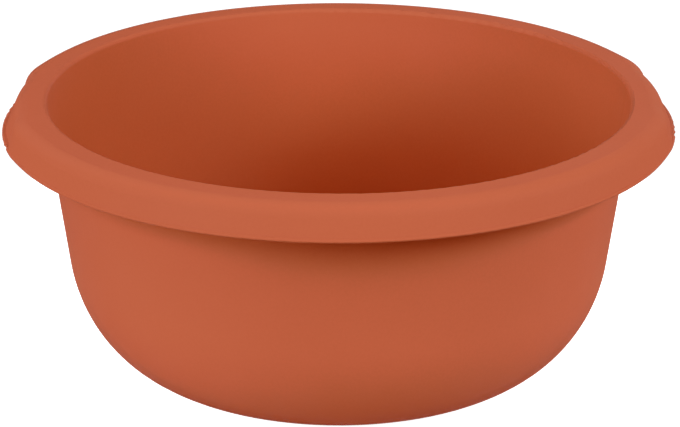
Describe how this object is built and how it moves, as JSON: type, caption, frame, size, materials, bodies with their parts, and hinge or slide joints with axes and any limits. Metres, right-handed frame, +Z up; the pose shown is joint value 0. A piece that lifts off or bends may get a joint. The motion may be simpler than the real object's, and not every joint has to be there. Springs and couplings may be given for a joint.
{
  "type": "washing up bowl",
  "caption": "Round plastic washing up bowl with a wide flat rim turned down into a beaded skirt, and a pressed-in finger grip on each side.",
  "frame": {"origin": "centre of the standing ring, on the surface that the bowl stands on", "axes": "+Z up along the bowl's axis, X through the two finger grips, Y across them"},
  "size_m": [0.3814, 0.3798, 0.1575],
  "materials": {
    "bowl_plastic": "satin injection moulded polypropylene, terracotta orange"
  },
  "bodies": {
    "root": {"bowl": "bowl_plastic"}
  },
  "joints": []
}
